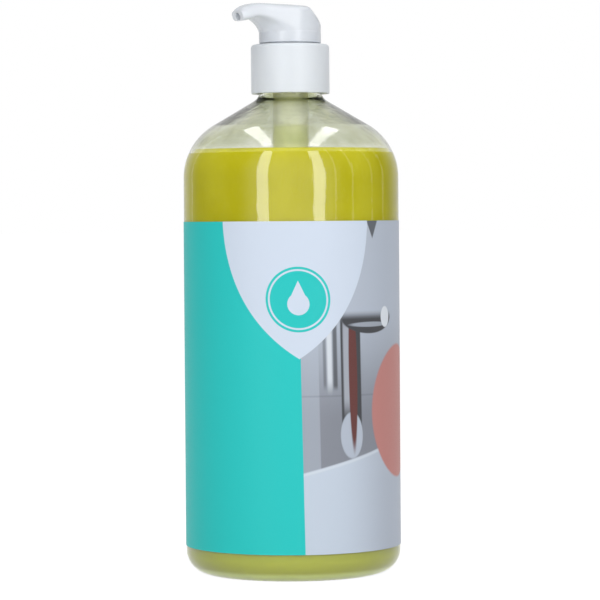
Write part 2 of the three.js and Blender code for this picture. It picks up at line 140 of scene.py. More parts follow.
def threadHeight(height, angle, thread):
    # how far the thread stands out here, as a share of its depth, fading out at both ends
    turns, ending = thread["turns"], 0.12
    share = 0.0
    for turn in range(-1, int(turns) + 2):
        along = angle / (2 * pi) + turn
        if along < 0 or along > turns:
            continue
        off = abs(height - thread["foot"] - thread["lead"] * along)
        fade = smoothStep(along, 0, ending) * (1 - smoothStep(along, turns - ending, turns))
        share = max(share, fade * (1 - smoothStep(off, thread["crest"], thread["root"])))
    return share


def threaded(thread):
    # a shape for lathe that moves the points in the thread's zone, between two radii and two heights
    inner, outer, low, high = thread["zone"]

    def shape(radius, height, angle):
        if inner < radius < outer and low < height < high:
            return radius + thread["depth"] * threadHeight(height, angle, thread)
        return radius
    return shape


def settle(piece):
    # bakes a piece's modifiers into its mesh
    graph = bpy.context.evaluated_depsgraph_get()
    baked = bpy.data.meshes.new_from_object(piece.evaluated_get(graph))
    piece.modifiers.clear()
    piece.data = baked
    return piece


def combine(piece, tool, operation):
    change = piece.modifiers.new("combine", "BOOLEAN")
    change.operation = operation
    change.solver = "MANIFOLD"
    change.object = tool
    settle(piece)
    bpy.data.objects.remove(tool)
    return piece


def newFinish(name):
    finish = bpy.data.materials.new(name)
    finish.use_nodes = True
    finish.node_tree.nodes.clear()
    return finish, finish.node_tree


def put(tree, kind, values=None, **settings):
    # a node with its settings, its plain values and its links
    node = tree.nodes.new("ShaderNode" + kind)
    for name, value in settings.items():
        setattr(node, name, value)
    for name, value in (values or {}).items():
        if isinstance(value, bpy.types.NodeSocket):
            tree.links.new(value, node.inputs[name])
        else:
            node.inputs[name].default_value = value
    return node


def calc(tree, operation, a, b=0.0, c=0.0):
    return put(tree, "Math", {0: a, 1: b, 2: c}, operation=operation).outputs[0]


def ramp(tree, value, low, high, start=0.0, end=1.0):
    # goes smoothly from start to end while value goes from low to high
    ranges = {"Value": value, "From Min": low, "From Max": high, "To Min": start, "To Max": end}
    return put(tree, "MapRange", ranges, interpolation_type="SMOOTHSTEP").outputs[0]


def tint(tree, share, under, over):
    node = put(tree, "Mix", {0: share}, data_type="RGBA")
    for socket, value in ((node.inputs[6], under), (node.inputs[7], over)):
        if isinstance(value, bpy.types.NodeSocket):
            tree.links.new(value, socket)
        else:
            socket.default_value = (*value, 1.0)
    return node.outputs[2]


def heightOver(tree):
    # the height above the foot, in millimetres
    place = put(tree, "TexCoord").outputs["Object"]
    return calc(tree, "MULTIPLY", put(tree, "SeparateXYZ", {0: place}).outputs[2], 1 / mm)


def speckle(tree, scale, detail, along):
    # noise over the piece, scale in cycles per metre, and along is the share of it that counts along Z
    place = put(tree, "TexCoord").outputs["Object"]
    stretched = put(tree, "Mapping", {"Vector": place, "Scale": (1, 1, along)}).outputs[0]
    values = {"Vector": stretched, "Scale": scale, "Detail": detail, "Roughness": 0.55}
    return put(tree, "TexNoise", values).outputs["Fac"]


def summed(tree, a, shareA, b, shareB):
    return calc(tree, "ADD", calc(tree, "MULTIPLY", a, shareA), calc(tree, "MULTIPLY", b, shareB))


def aroundLevel(tree, value, level, span):
    # a roughness that varies by this span about its level
    return calc(tree, "ADD", calc(tree, "MULTIPLY", value, span), level - span / 2)


def relief(tree, height, depth, strength=1.0):
    return put(tree, "Bump", {"Height": height, "Distance": depth * mm, "Strength": strength}).outputs[0]


def closeFinish(tree, surface):
    put(tree, "OutputMaterial", {"Surface": surface})


def shadeWith(finish, tree, values):
    closeFinish(tree, put(tree, "BsdfPrincipled", values).outputs[0])
    return finish


def murky(weight, reach, scale):
    return {"Subsurface Weight": weight, "Subsurface Radius": reach, "Subsurface Scale": scale}


def outline(sizes, rows, steps=4):
    # a rounded profile whose rows name a radius and a height in sizes and give the fillet
    return rounded([(sizes[radius], sizes[height], fillet) for radius, height, fillet in rows], steps)


def splitRound(line, longest):
    return split(line + line[:1], longest)[:-1]


def setFinish(piece, finish, body):
    piece.data.materials.clear()
    piece.data.materials.append(finish)
    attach(piece, body)
    return piece


# White polypropylene, moulded: a soft gloss with slight orange peel and flow marks
# Head and collar have their colour, roughness and peel, and each noise its scale, detail and share along Z
mouldedWhite = {
    "head": ((0.7, 0.735, 0.785), 0.26, 0.02), "collar": ((0.745, 0.785, 0.83), 0.42, 0.035),
    "flow": (90, 2, 0.25), "flowShade": 0.955, "skin": (900, 2, 1), "skinShare": 0.7, "grain": (5200, 2, 1),
    "grainShare": 0.3, "glossSpan": 0.1, "ior": 1.49, "murk": (0.12, (1, 0.9, 0.8), 0.0012),
}


def makeMouldedWhite(name, colour, roughness, peel):
    w = mouldedWhite
    finish, tree = newFinish(name)
    flow, skin, grain = speckle(tree, *w["flow"]), speckle(tree, *w["skin"]), speckle(tree, *w["grain"])
    height = summed(tree, skin, w["skinShare"], grain, w["grainShare"])
    shade = [w["flowShade"] * channel for channel in colour]
    return shadeWith(finish, tree, {
        "Base Color": tint(tree, flow, shade, colour), "Normal": relief(tree, height, peel), "IOR": w["ior"],
        "Roughness": aroundLevel(tree, grain, roughness, w["glossSpan"]), **murky(*w["murk"])})


headWhite = makeMouldedWhite("headWhite", *mouldedWhite["head"])
collarWhite = makeMouldedWhite("collarWhite", *mouldedWhite["collar"])

# Natural polypropylene of the barrel and the tube: milky, drawn along Z, with soap in it up to a level
naturalPlastic = {
    "colour": (0.76, 0.775, 0.6), "pale": (0.84, 0.845, 0.7), "wet": (0.74, 0.775, 0.49), "wetTop": 183.6,
    "wetBlur": 0.4, "lines": (700, 3, 0.06), "lineDepth": 0.03, "skin": (1300, 2, 1), "roughness": 0.38,
    "glossSpan": 0.16, "ior": 1.49, "murk": (0.5, (1, 1, 0.6), 0.003),
}


def makeNaturalPlastic():
    n = naturalPlastic
    finish, tree = newFinish("naturalPlastic")
    wet = ramp(tree, heightOver(tree), n["wetTop"] - n["wetBlur"], n["wetTop"] + n["wetBlur"], 1.0, 0.0)
    lines, skin = speckle(tree, *n["lines"]), speckle(tree, *n["skin"])
    return shadeWith(finish, tree, {
        "Base Color": tint(tree, wet, tint(tree, lines, n["colour"], n["pale"]), n["wet"]), "IOR": n["ior"],
        "Roughness": aroundLevel(tree, skin, n["roughness"], n["glossSpan"]),
        "Normal": relief(tree, lines, n["lineDepth"]), **murky(*n["murk"])})


naturalFinish = makeNaturalPlastic()

# Foamed polyethylene of the seal: matt with fine closed cells
sealFoam = {"dark": (0.8, 0.8, 0.76), "pale": (0.86, 0.86, 0.83), "cells": 2600, "depth": 0.05,
            "gloss": (0, 1, 0.62, 0.8)}


def makeSealFinish():
    s = sealFoam
    finish, tree = newFinish("sealFoam")
    cells = put(tree, "TexVoronoi", {"Vector": put(tree, "TexCoord").outputs["Object"], "Scale": s["cells"]})
    cell = cells.outputs["Distance"]
    return shadeWith(finish, tree, {
        "Base Color": tint(tree, cell, s["dark"], s["pale"]), "Roughness": ramp(tree, cell, *s["gloss"]),
        "Normal": relief(tree, cell, s["depth"])})


sealFinish = makeSealFinish()

# Drawn stainless wire with fine lines
drawnSteel = {"dark": (0.5, 0.5, 0.51), "pale": (0.66, 0.66, 0.67), "lines": (2600, 3, 1), "depth": 0.01,
              "gloss": (0.2, 0.8, 0.16, 0.34)}


def makeSteelFinish():
    s = drawnSteel
    finish, tree = newFinish("drawnSteel")
    lines = speckle(tree, *s["lines"])
    return shadeWith(finish, tree, {
        "Base Color": tint(tree, lines, s["dark"], s["pale"]), "Metallic": 1.0,
        "Roughness": ramp(tree, lines, *s["gloss"]), "Normal": relief(tree, lines, s["depth"])})


steelFinish = makeSteelFinish()
print("plain finishes made")

# Bottle: one clear blown shell with a threaded neck
bottleSizes = {
    "radius": 44, "wall": 0.8, "land": 211.4, "footFillet": 9.5, "footRing": 1.8, "pushUp": 6,
    "pushUpWidth": 0.72, "shoulderRadius": 24.9, "slope": 30.5, "neckFoot": 194.6, "neckRadius": 12.5,
    "neckBore": 10.85, "neckRoot": 3.2, "landEdge": 0.35, "throatRoot": 3, "throatTop": 4,
    "throatFoot": -0.8, "fillLevel": 172.9, "footSteps": 14, "shoulderSteps": 24, "filletSteps": 6,
    "longest": 0.35, "segments": 192,
    "thread": {"foot": 198.6, "lead": 4.23, "turns": 1.9, "crest": 0.35, "root": 0.95, "depth": 1.1,
               "zone": (12.3, 12.6, 196, 211)},
}


def bottleLine(inset):
    # outer line from the axis up to the end of the shoulder's arc, moved inwards by inset
    b = bottleSizes
    ringOuter = b["radius"] - b["footFillet"]
    ringInner = ringOuter - b["footRing"]
    line = []
    for i in range(b["footSteps"] + 1):
        t = i / b["footSteps"]
        x = 2 * t * (1 - t) * ringInner * b["pushUpWidth"] + t * t * ringInner
        z = (1 - t) ** 2 * b["pushUp"] + 2 * t * (1 - t) * b["pushUp"]
        line.append((x, z + inset))
    line.append((ringOuter, inset))
    fillet = b["footFillet"] - inset
    line += arc(b["radius"] - inset - fillet, inset + fillet, fillet, -90, 0, b["footSteps"])[1:]
    slope = radians(b["slope"])
    arcEnd = b["radius"] - b["shoulderRadius"] * (1 - sin(slope))
    arcEndHeight = b["neckFoot"] - (arcEnd - b["neckRadius"]) * tan(slope)
    start = arcEndHeight - b["shoulderRadius"] * cos(slope)
    centre = b["radius"] - b["shoulderRadius"]
    line += arc(centre, start, b["shoulderRadius"] - inset, 0, 90 - b["slope"], b["shoulderSteps"])
    return line


def makeBottle():
    b = bottleSizes
    outer, inner = bottleLine(0), bottleLine(b["wall"])
    throat = (b["neckBore"], b["neckFoot"] + b["throatTop"], 0)
    neck = rounded([(*outer[-1], 0), (b["neckRadius"], b["neckFoot"], b["neckRoot"]),
                    (b["neckRadius"], b["land"], b["landEdge"]), (b["neckBore"], b["land"], b["landEdge"]),
                    throat], b["filletSteps"])
    under = rounded([throat, (b["neckBore"], b["neckFoot"] + b["throatFoot"], b["throatRoot"]),
                     (*inner[-1], 0)], b["filletSteps"])
    line = outer[:-1] + split(neck[1:-1], b["longest"])[:-1] + under + inner[::-1][1:]
    return lathe("bottleShell", line, b["segments"], closed=False, shape=threaded(b["thread"]))


# Clear PET: faint streaks and peel, a thin wash of soap over the head space, and a band of painted shade at
# the neck's root
clearPet = {
    # ring is the dark colour of the painted shade at the neck's root
    "colour": (0.975, 0.985, 0.965), "film": (0.695, 0.72, 0.605), "ring": (0.51, 0.54, 0.37),
    "passing": (0.97, 0.975, 0.955), "ior": 1.57, "roughness": 0.035, "filmFade": (172, 176),
    "smear": (75, 4, 0.35), "smearFade": (0.2, 0.75, 0.35, 1), "rootShadeFoot": (191.7, 192.3),
    "rootShadeTop": (194.3, 193.9), "streaks": (260, 4, 0.05), "streakGloss": (0.35, 0.75, 0, 0.16),
    "streakShare": 0.35, "peel": (420, 2, 0.5), "peelShare": 0.65, "depth": 0.05,
}


def makeClearPet():
    p = clearPet
    finish, tree = newFinish("clearPet")
    height = heightOver(tree)
    streaks, peel, smear = speckle(tree, *p["streaks"]), speckle(tree, *p["peel"]), speckle(tree, *p["smear"])
    wash = calc(tree, "MULTIPLY", ramp(tree, height, *p["filmFade"]), ramp(tree, smear, *p["smearFade"]))
    # painted shade: the ring colour darkens a band round the neck's root, where the curved clear wall looks
    # dark
    ring = calc(tree, "MULTIPLY", ramp(tree, height, *p["rootShadeFoot"]), ramp(tree, height, *p["rootShadeTop"]))
    colour = tint(tree, ring, tint(tree, wash, p["colour"], p["film"]), p["ring"])
    streaked = calc(tree, "MULTIPLY", wash, ramp(tree, streaks, *p["streakGloss"]))
    bumps = summed(tree, streaks, p["streakShare"], peel, p["peelShare"])
    glass = put(tree, "BsdfPrincipled", {
        "Base Color": colour, "Roughness": calc(tree, "ADD", streaked, p["roughness"]), "IOR": p["ior"],
        "Transmission Weight": 1.0, "Normal": relief(tree, bumps, p["depth"])})
    letThrough = put(tree, "BsdfTransparent", {"Color": (*p["passing"], 1)})
    lamps = put(tree, "LightPath").outputs["Is Shadow Ray"]
    shader = put(tree, "MixShader", {0: lamps, 1: glass.outputs[0], 2: letThrough.outputs[0]})
    closeFinish(tree, shader.outputs[0])
    return finish


bottleShell = setFinish(makeBottle(), makeClearPet(), "bottle")
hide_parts("bottle")
print("bottle made")

# Soap: fills the shell, wets the wall a little at its level and leaves room for the pump
soapSizes = {
    "bond": 0.03, "creep": 0.2, "creepRun": 0.9, "creepPower": 2.6, "climb": 0.8, "barrel": 7.62,
    "footTube": 5.12, "tube": 3.72, "barrelFoot": 161.3, "conical": 155.6, "housingFoot": 142.6,
    "tubeFoot": 8.5, "steps": 8, "innerSteps": 6, "segments": 160,
}


def makeSoap():
    s = soapSizes
    level = bottleSizes["fillLevel"]
    line = bottleLine(bottleSizes["wall"] - s["bond"])
    wall = [p for p in line if p[1] < level - 1]
    above = next(p for p in line if p[1] > level + s["creep"])
    under = wall[-1]
    share = (level + s["creep"] - under[1]) / (above[1] - under[1])
    rim = under[0] + (above[0] - under[0]) * share
    climb = [(rim - s["creepRun"] * t, level + s["creep"] * (1 - t) ** s["creepPower"])
             for t in [i / s["steps"] for i in range(s["steps"] + 1)]]
    inner = [(s["barrel"] + s["creepRun"] * (1 - t), level + s["climb"] * t ** s["creepPower"])
             for t in [i / s["innerSteps"] for i in range(s["innerSteps"] + 1)]]
    hole = [(s["barrel"], s["barrelFoot"]), (s["footTube"], s["conical"]), (s["footTube"], s["housingFoot"]),
            (s["tube"], s["housingFoot"]), (s["tube"], s["tubeFoot"]), (0, s["tubeFoot"])]
    return lathe("soapFill", wall + climb + inner + hole, s["segments"], closed=False)


# low is a painted shade, darker and greener towards the bottom, and foot is a painted light from the floor
# through the base at the very bottom
soapLook = {
    "deep": (0.465, 0.43, 0.007), "light": (0.555, 0.52, 0.03), "low": (0.44, 0.465, 0.055),
    "foot": (0.8, 0.87, 0.34), "cloud": (38, 3, 0.6), "cloudFade": (0.3, 0.7), "paintedFloorGlowFade": (4.5, 2.5),
    "paintedBottomShadeFade": (24, 10), "fine": (700, 2, 1), "gloss": (0.3, 0.7, 0.16, 0.3), "ior": 1.36, "shine": 0.12,
    "depth": 0.02, "murk": (0.25, (1, 0.95, 0.25), 0.002),
}


def makeSoapFinish():
    s = soapLook
    finish, tree = newFinish("handSoap")
    height = heightOver(tree)
    body = tint(tree, ramp(tree, speckle(tree, *s["cloud"]), *s["cloudFade"]), s["deep"], s["light"])
    # painted shade low down, fading into painted floor light at the foot
    lower = tint(tree, ramp(tree, height, *s["paintedFloorGlowFade"]), s["low"], s["foot"])
    fine = speckle(tree, *s["fine"])
    return shadeWith(finish, tree, {
        "Base Color": tint(tree, ramp(tree, height, *s["paintedBottomShadeFade"]), body, lower),
        "Roughness": ramp(tree, fine, *s["gloss"]), "IOR": s["ior"], "Specular IOR Level": s["shine"],
        "Normal": relief(tree, fine, s["depth"]), **murky(*s["murk"])})


soapFill = setFinish(makeSoap(), makeSoapFinish(), "bottle")
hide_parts("liquid_soap")
print("soap made")

# Label: one film, wrapped round and lapped at the back, with plain fields of colour
labelSizes = {"bottom": 11.6, "top": 144, "inner": 44.02, "outer": 44.16, "lap": 7, "rise": 0.18,
              "riseFrom": 2.5, "riseTo": 0.1, "around": 288, "up": 24, "edge": 50}


def makeLabel():
    s = labelSizes
    lapAngle = s["lap"] / s["outer"]
    start = pi / 2 - lapAngle / 2
    levels = [s["bottom"] + (s["top"] - s["bottom"]) * i / s["up"] for i in range(s["up"] + 1)]
    points, faces = [], []
    full = 2 * pi
    for i in range(s["around"] + 1):
        turned = (full + lapAngle) * i / s["around"]
        # the last stretch climbs over the first one's edge
        climb = smoothStep(turned, full - lapAngle * s["riseFrom"], full - lapAngle * s["riseTo"])
        angle = start + turned
        for radius in (s["inner"] + s["rise"] * climb, s["outer"] + s["rise"] * climb):
            points += [(radius * cos(angle), radius * sin(angle), z) for z in levels]
    n = len(levels)
    for i in range(s["around"]):
        a, b = i * 2 * n, (i + 1) * 2 * n
        for k in range(n - 1):
            faces.append((a + n + k, b + n + k, b + n + k + 1, a + n + k + 1))
            faces.append((a + k + 1, b + k + 1, b + k, a + k))
        faces.append((a, b, b + n, a + n))
        faces.append((a + n - 1, a + 2 * n - 1, b + 2 * n - 1, b + n - 1))
    end = s["around"] * 2 * n
    for k in range(n - 1):
        faces.append((k, k + n, k + n + 1, k + 1))
        faces.append((end + k, end + k + 1, end + n + k + 1, end + n + k))
    return keepEdges(addPiece("labelFilm", points, faces), s["edge"])


# Places on the label: u is the way round it from the middle of the front, v the height
# A bar is its (middle u, half width, blur), (middle v, half height, blur), share and colour
# An oval is its middle u, middle v, half width, half height and blur
labelFields = {
    "unroll": 44, "lean": 0.018, "leanAt": 78, "blur": 0.12,
    "teal": (0.006, 0.54, 0.515), "tealEdge": -0.6, "tealBack": -128, "backBlur": 0.1,
    "panel": (0.61, 0.685, 0.8), "panelMiddle": -1.1, "panelTip": 89.4, "panelArc": 66.9,
    "panelInset": 35.6, "panelBlur": 0.15, "sidePanel": ((-99, 24), (78, 46)), "blank": (0.7, 0.745, 0.8),
    "blankFrom": (72, 73), "blankBlur": 0.3, "wall": (0.225, 0.24, 0.28), "wallPale": (0.44, 0.49, 0.575),
    "wallFade": (62, 112), "nook": (0.36, 0.385, 0.44), "strip": (6.5, 0.3), "stripShare": 0.5,
    "joint": (74.5, 0.35, 0.3), "jointShare": 0.2,
    "bars": [((13.4, 0.9, 0.5), (93, 15.5, 1.5), 0.8, "steel"), ((11, 1, 0.5), (90, 12, 4), 0.8, "blank"),
             ((8.9, 0.6, 0.4), (91, 13, 2), 0.5, "steel"), ((20.6, 4.7, 0.35), (84, 22, 3), 1, "steel"),
             ((18.4, 1.4, 0.5), (87, 18, 5), 1, "nook")],
    "steel": (0.05, 0.052, 0.058), "rust": (0.125, 0.035, 0.03), "coral": (0.5, 0.21, 0.19),
    "drop": (20.4, 58.6, 5.2, 9.2, 0.12), "core": (21.4, 83, 2, 30, 0.25), "coreTop": (102, 1),
    "basin": (0.53, 0.6, 0.7), "basinEdge": (0.245, 44.2), "basinBlur": 0.4, "basinFade": (12, 44),
    "rim": (-0.8, 0.5, 0.5), "rimShare": 0.5, "level": (30.6, 105.6, 14.2, 6.6, 0.08),
    "levelFade": (104.5, 108.5), "glint": (31, 102.6, 10.5, 1, 0.4), "glintShare": 0.7,
    "knob": (40.6, 105.4, 3, 4.2, 0.15), "sideOval": (52, 67, 21, 27, 0.05),
    "corner": (33, 144.5), "cornerSlope": 0.45, "cornerReach": (3.4, 0.3), "cornerShare": 0.85,
    "badge": (-1, 113, 13), "badgeBlur": 0.02, "ringOuter": 0.86, "ringInner": (0.74, 0.78),
    "bead": (1.8, 4.4, 0.06), "beadTip": 7.5, "beadTaper": 0.47, "beadBlur": 0.1, "beadFrom": (-1.5, -1.3),
    "wrinkle": (55, 3, 0.3), "wrinkleShare": 0.8, "skin": (1500, 2, 1), "skinShare": 0.12,
    "fine": (6000, 1, 1), "fineShare": 0.05, "gloss": (0.2, 0.8, 0.4, 0.52), "ior": 1.45, "shine": 0.2,
    "depth": (0.12, 0.6),
}


def makeLabelFilm():
    f = labelFields
    finish, tree = newFinish("labelPrint")

    def both(a, b):
        return calc(tree, "MULTIPLY", a, b)

    def less(value, amount):
        return calc(tree, "SUBTRACT", value, amount)

    # the print leans a little on the film
    x, y, z = put(tree, "SeparateXYZ", {0: put(tree, "TexCoord").outputs["Object"]}).outputs
    v = both(z, 1 / mm)
    around = calc(tree, "ARCTAN2", x, both(y, -1))
    u = calc(tree, "MULTIPLY_ADD", around, f["unroll"], both(less(v, f["leanAt"]), f["lean"]))

    def off(value, middle):
        return calc(tree, "ABSOLUTE", less(value, middle))

    def inside(value, edge, blur):
        return ramp(tree, value, edge - blur, edge + blur, 1.0, 0.0)

    def ellipse(middleU, middleV, halfWidth, halfHeight):
        # below one inside an oval
        du = calc(tree, "DIVIDE", less(u, middleU), halfWidth)
        dv = calc(tree, "DIVIDE", less(v, middleV), halfHeight)
        return calc(tree, "ADD", both(du, du), both(dv, dv))

    def oval(name):
        *shape, blur = f[name]
        return inside(ellipse(*shape), 1, blur)

    def paint(area, colour, share=1):
        # the sheet with this share of a colour over an area
        return tint(tree, area if share == 1 else both(area, share), sheet, colour)

    # grey wall, darkest at the middle of the label's height, with a lighter strip and a faint joint
    sheet = tint(tree, ramp(tree, v, *f["wallFade"]), f["wall"], f["wallPale"])
    sheet = paint(inside(u, *f["strip"]), f["wallPale"], f["stripShare"])
    level, *joint = f["joint"]
    sheet = paint(inside(off(v, level), *joint), f["steel"], f["jointShare"])
    # three upright bars behind, then one in front with a pale side, a drop at its foot and a warm core
    for (middleU, *width), (middleV, *height), share, colour in f["bars"]:
        bar = both(inside(off(u, middleU), *width), inside(off(v, middleV), *height))
        sheet = paint(bar, f[colour], share)
    sheet = paint(oval("drop"), f["wallPale"])
    sheet = paint(both(oval("core"), inside(v, *f["coreTop"])), f["rust"])
    # basin: everything under a rising line, with a pale rim
    belowEdge = less(v, calc(tree, "MULTIPLY_ADD", u, *f["basinEdge"]))
    basinShade = tint(tree, ramp(tree, u, *f["basinFade"]), f["basin"], f["wallPale"])
    sheet = paint(inside(belowEdge, 0, f["basinBlur"]), basinShade)
    level, *rim = f["rim"]
    sheet = paint(inside(off(belowEdge, level), *rim), f["blank"], f["rimShare"])
    # level bar, bright above and dark below, with a round end
    sheet = paint(oval("level"), tint(tree, ramp(tree, v, *f["levelFade"]), f["steel"], f["wallPale"]))
    sheet = paint(oval("glint"), f["wallPale"], f["glintShare"])
    sheet = paint(oval("knob"), f["blank"])
    # dark corner at the top edge, and a plain oval at the right
    cornerU, cornerV = f["corner"]
    cornerOff = calc(tree, "ADD", off(u, cornerU), both(off(v, cornerV), f["cornerSlope"]))
    sheet = paint(inside(cornerOff, *f["cornerReach"]), f["steel"], f["cornerShare"])
    sheet = paint(oval("sideOval"), f["coral"])
    # plain ends towards the back
    sheet = paint(ramp(tree, u, *f["blankFrom"]), f["blank"])
    sheet = paint(inside(u, f["tealBack"], f["blankBlur"]), f["blank"])
    # teal field on the left half, with a bare panel towards the back
    fromBack = ramp(tree, u, f["tealBack"] - f["backBlur"], f["tealBack"] + f["backBlur"])
    sheet = paint(both(inside(u, f["tealEdge"], f["blur"]), fromBack), f["teal"])
    (middleU, halfWidth), (middleV, halfHeight) = f["sidePanel"]
    across = inside(off(u, middleU), halfWidth, f["blur"])
    sheet = paint(both(across, inside(off(v, middleV), halfHeight, f["blur"])), f["blank"])
    # the front panel narrows between two arcs down to a point
    arcHeight = f["panelTip"] + sqrt(f["panelArc"] ** 2 - f["panelInset"] ** 2)
    reach = calc(tree, "ADD", off(u, f["panelMiddle"]), f["panelInset"])
    down = less(v, arcHeight)
    distance = calc(tree, "SQRT", calc(tree, "ADD", both(reach, reach), both(down, down)))
    sheet = paint(inside(distance, f["panelArc"], f["panelBlur"]), f["panel"])
    # round badge with a thin ring and one drop in it
    badgeU, badgeV, radius = f["badge"]
    disc = ellipse(badgeU, badgeV, radius, radius)
    sheet = paint(inside(disc, 1, f["badgeBlur"]), f["teal"])
    ring = both(inside(disc, f["ringOuter"], f["badgeBlur"]), ramp(tree, disc, *f["ringInner"]))
    sheet = paint(ring, f["panel"])
    drop, size, blur = f["bead"]
    lower = inside(ellipse(badgeU, badgeV - drop, size, size), 1, blur)
    taper = both(less(badgeV + f["beadTip"], v), f["beadTaper"])
    upper = both(inside(less(off(u, badgeU), taper), 0, f["beadBlur"]),
                 ramp(tree, v, *[badgeV + height for height in f["beadFrom"]]))
    sheet = paint(calc(tree, "MAXIMUM", lower, upper), f["panel"])
    wrinkle, skin = speckle(tree, *f["wrinkle"]), speckle(tree, *f["skin"])
    bumps = summed(tree, wrinkle, f["wrinkleShare"], skin, f["skinShare"])
    sheet = paint(speckle(tree, *f["fine"]), f["blank"], f["fineShare"])
    return shadeWith(finish, tree, {
        "Base Color": sheet, "Roughness": ramp(tree, skin, *f["gloss"]), "IOR": f["ior"],
        "Specular IOR Level": f["shine"], "Normal": relief(tree, bumps, *f["depth"])})


labelFilm = setFinish(makeLabel(), makeLabelFilm(), "bottle")
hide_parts("label")
print("label made")

# Collar: a smooth screw cap, threaded inside
collarSizes = {
    "radius": 16.05, "bore": 14, "hole": 9.5, "bottom": 196.1, "top": 216.2, "deck": 214.4, "longest": 0.45,
    "segments": 160,
    "thread": {"foot": 198.9, "lead": 4.23, "turns": 2.4, "crest": 0.3, "root": 0.85, "depth": -1,
               "zone": (13.9, 14.1, 197, 212)},
}


def makeCollar():
    c = collarSizes
    line = outline(c, [
        ("bore", "bottom", 0.5), ("radius", "bottom", 0.35), ("radius", "top", 1.7), ("hole", "top", 0.3),
        ("hole", "deck", 0.2), ("bore", "deck", 0.6)], 7)
    line = splitRound(line, c["longest"])
    return keepEdges(lathe("collarShell", line, c["segments"], shape=threaded(c["thread"])))


collarShell = setFinish(makeCollar(), collarWhite, "collar")
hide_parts("collar")

# Barrel of the pump, hung by its flange in the neck
housingSizes = {
    "flange": 13.2, "flangeFoot": 212.8, "flangeTop": 214.1, "cup": 10.4, "cupBore": 9.3, "step": 203,
    "cupFloor": 204.2, "boreTop": 203.8, "barrel": 7.3, "bore": 6.4, "barrelFoot": 161.5, "chamber": 3.4,
    "seatTop": 156.1, "seatFoot": 153.7, "inlet": 1.6, "tubeStop": 152.7, "footTube": 4.8, "socket": 3.45,
    "foot": 142.9,
}


def makeHousing():
    line = outline(housingSizes, [
        ("socket", "foot", 0.2), ("footTube", "foot", 0.5), ("footTube", "seatTop", 0.6),
        ("barrel", "barrelFoot", 0.8), ("barrel", "step", 0.5), ("cup", "step", 0.8),
        ("cup", "flangeFoot", 0.25), ("flange", "flangeFoot", 0.25), ("flange", "flangeTop", 0.3),
        ("cupBore", "flangeTop", 0.3), ("cupBore", "cupFloor", 0.3), ("bore", "boreTop", 0.3),
        ("bore", "barrelFoot", 0.2), ("chamber", "barrelFoot", 0.15), ("chamber", "seatTop", 0.1),
        ("inlet", "seatFoot", 0.1), ("inlet", "tubeStop", 0.1), ("socket", "tubeStop", 0.1)], 3)
    return keepEdges(lathe("pumpBarrel", line))


pumpBarrel = setFinish(makeHousing(), naturalFinish, "pump")
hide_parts("pump_housing")

# Chaplet: ring over the collar, guide for the stem, lock thread in its bore
chapletSizes = {
    "rim": 11.2, "rimFoot": 216.4, "rimTop": 217.6, "sleeve": 9.2, "bore": 8.2, "foot": 204.5, "web": 210.6,
    "webFoot": 209.2, "guide": 3.95, "guideOuter": 5.15, "guideTop": 213, "guideFoot": 204, "longest": 0.5,
    "segments": 112,
    "thread": {"foot": 211.6, "lead": 3.6, "turns": 1.3, "crest": 0.3, "root": 0.7, "depth": -0.12,
               "zone": (8.1, 8.3, 211, 217)},
}


def makeChaplet():
    c = chapletSizes
    line = outline(c, [
        ("guide", "guideFoot", 0.15), ("guideOuter", "guideFoot", 0.2), ("guideOuter", "webFoot", 0.4),
        ("bore", "webFoot", 0.3), ("bore", "foot", 0.2), ("sleeve", "foot", 0.3), ("sleeve", "rimFoot", 0.15),
        ("rim", "rimFoot", 0.2), ("rim", "rimTop", 0.4), ("bore", "rimTop", 0.35), ("bore", "web", 0.3),
        ("guideOuter", "web", 0.3), ("guideOuter", "guideTop", 0.25), ("guide", "guideTop", 0.2)])
    line = splitRound(line, c["longest"])
    return keepEdges(lathe("chapletRing", line, c["segments"], shape=threaded(c["thread"])))


chapletRing = setFinish(makeChaplet(), collarWhite, "pump")
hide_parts("chaplet")

# Sealing ring between the neck's land and the flange
gasketSizes = {"bore": 10.75, "radius": 13.4, "foot": 211.52, "top": 212.7}


def makeGasket():
    line = outline(gasketSizes, [
        ("bore", "foot", 0.2), ("radius", "foot", 0.3), ("radius", "top", 0.3), ("bore", "top", 0.2)])
    return lathe("neckSeal", line)


neckSeal = setFinish(makeGasket(), sealFinish, "pump")
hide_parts("neck_gasket")

# Check ball, on the cone of its seat
ballSizes = {"radius": 2.38, "middle": 155.62, "rows": 24, "segments": 48}


def makeBall():
    b = ballSizes
    line = arc(0, b["middle"], b["radius"], -90, 90, b["rows"])
    line[0], line[-1] = (0, line[0][1]), (0, line[-1][1])
    return lathe("valveBall", line, b["segments"], closed=False)


valveBall = setFinish(makeBall(), steelFinish, "pump")
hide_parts("check_ball")

# Dip tube, its mouth cut on a slant
tubeSizes = {"outer": 3.4, "inner": 2.7, "foot": 8.8, "even": 14.8, "top": 152.6, "slant": 35, "steps": 12}


def makeDipTube():
    t = tubeSizes
    rise = tan(radians(t["slant"]))
    run = t["top"] - t["even"]
    body = [t["even"] + i * run / t["steps"] for i in range(t["steps"] + 1)]
    # the two lowest rows wait under the floor for their places on the slant
    outside = [(t["outer"], z) for z in [-1] + body]
    inside = [(t["inner"], z) for z in body[::-1] + [-1]]
    piece = lathe("dipTube", outside + inside, 64)
    for vertex in piece.data.vertices:
        if vertex.co.z < 0:
            vertex.co.z = t["foot"] * mm + rise * (t["outer"] * mm - vertex.co.x)
    piece.data.update()
    return keepEdges(piece)


dipTube = setFinish(makeDipTube(), naturalFinish, "pump")
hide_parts("dip_tube")
print("collar and pump body made")

# Return spring: ground and closed at both ends
springSizes = {"foot": 161.65, "height": 10.85, "wire": 0.9, "mean": 4, "turns": 6.5, "endPitch": 1.12,
               "steps": 300, "round": 14}


